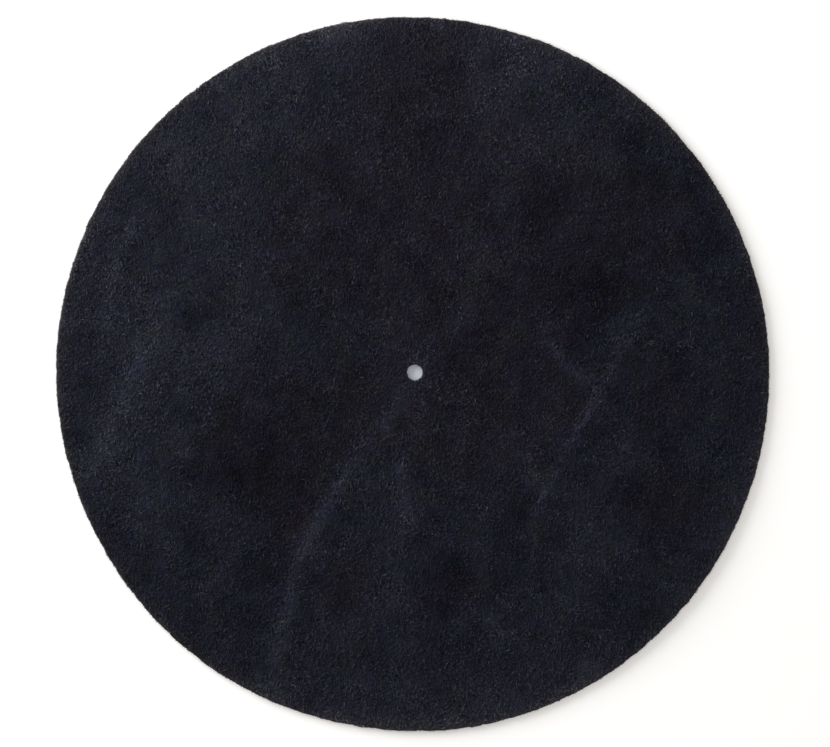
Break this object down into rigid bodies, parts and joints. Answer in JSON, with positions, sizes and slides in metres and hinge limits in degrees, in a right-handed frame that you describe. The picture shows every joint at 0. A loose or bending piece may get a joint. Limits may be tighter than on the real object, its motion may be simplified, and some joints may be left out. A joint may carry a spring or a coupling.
{
  "type": "turntable platter mat",
  "caption": "Round suede leather mat for a turntable platter, with one central spindle hole, a soft cut rim and shallow creases.",
  "frame": {"origin": "middle of the spindle hole, on the plane that the underside rests on", "axes": "+Z along the spindle axis, from the underside to the nap side; +X to the right and +Y away from the viewer as the mat is pictured"},
  "size_m": [0.3, 0.2998, 0.0039],
  "materials": {
    "suede": "brushed nap, very dark navy, matt"
  },
  "bodies": {
    "root": {"platter_mat": "suede"}
  },
  "joints": []
}
